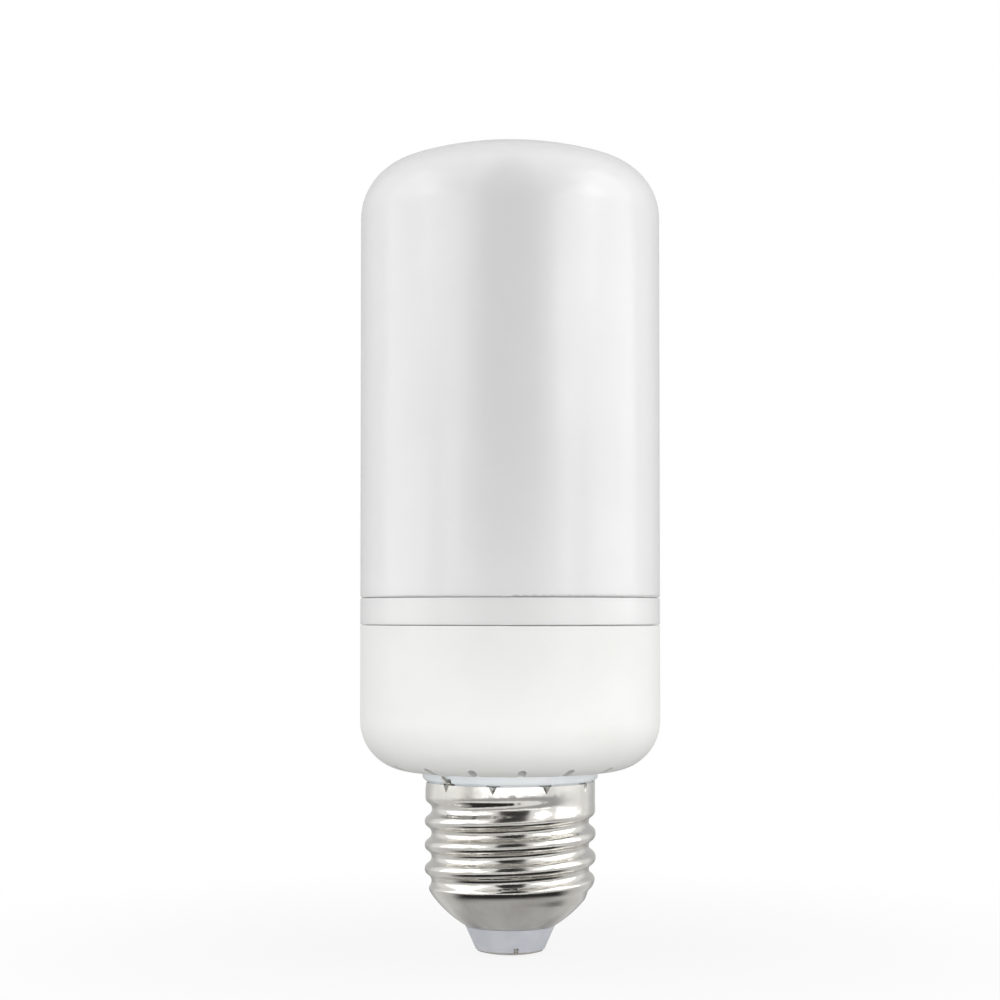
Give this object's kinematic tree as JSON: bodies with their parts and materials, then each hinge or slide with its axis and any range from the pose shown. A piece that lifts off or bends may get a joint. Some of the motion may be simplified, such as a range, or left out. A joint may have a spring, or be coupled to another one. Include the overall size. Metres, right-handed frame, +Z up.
{
  "type": "flame effect led bulb",
  "caption": "Tall milky LED bulb with a flat domed end, a narrow band, a vented round-edged base housing and a nickel Edison screw cap; rings of LEDs inside.",
  "frame": {"origin": "the middle of the centre contact's flat end, on the bulb's axis", "axes": "+Z up the axis from the contact to the dome; -Y is the side that the picture shows"},
  "size_m": [0.046, 0.046, 0.124],
  "materials": {
    "milky_polycarbonate": "satin, milky",
    "white_ring": "satin",
    "white_housing": "satin",
    "cool_white_neck": "gloss",
    "nickel_shell": "bright nickel plate",
    "grey_insulator": "moulded, slightly matt",
    "nickel_contact": "bright nickel plate",
    "white_core": "moulded",
    "white_board": "solder mask",
    "led_package": "phosphor window in a white frame",
    "screw_steel": "zinc plated",
    "green_board": "solder mask",
    "capacitor_sleeve": "shrunk sleeve",
    "resistor_enamel": "enamel",
    "film_block": "dipped epoxy",
    "ferrite": "sintered",
    "chip_black": "moulded epoxy",
    "tinned_wire": "tinned",
    "insulated_wire": "extruded insulation"
  },
  "bodies": {
    "root": {"diffuser_cover": "milky_polycarbonate", "cover_ring": "white_ring", "base_housing": "white_housing", "cap_neck": "cool_white_neck", "screw_shell": "nickel_shell", "cap_insulator": "grey_insulator", "centre_contact": "nickel_contact", "bare_lead_end": "tinned_wire", "led_core": "white_core", "led_wrap_board": "white_board", "flame_leds_row_1": "led_package", "flame_leds_row_2": "led_package", "flame_leds_row_3": "led_package", "flame_leds_row_4": "led_package", "flame_leds_row_5": "led_package", "flame_leds_row_6": "led_package", "flame_leds_row_7": "led_package", "flame_leds_row_8": "led_package", "top_board": "white_board", "top_leds": "led_package", "top_board_screws": "screw_steel", "driver_board": "green_board", "smoothing_capacitor": "capacitor_sleeve", "fusible_resistor": "resistor_enamel", "film_capacitor": "film_block", "transformer": "ferrite", "bridge_rectifier": "chip_black", "driver_chip": "chip_black", "flame_chip": "chip_black", "side_lead": "tinned_wire", "centre_lead": "insulated_wire", "led_leads": "insulated_wire"}
  },
  "joints": []
}
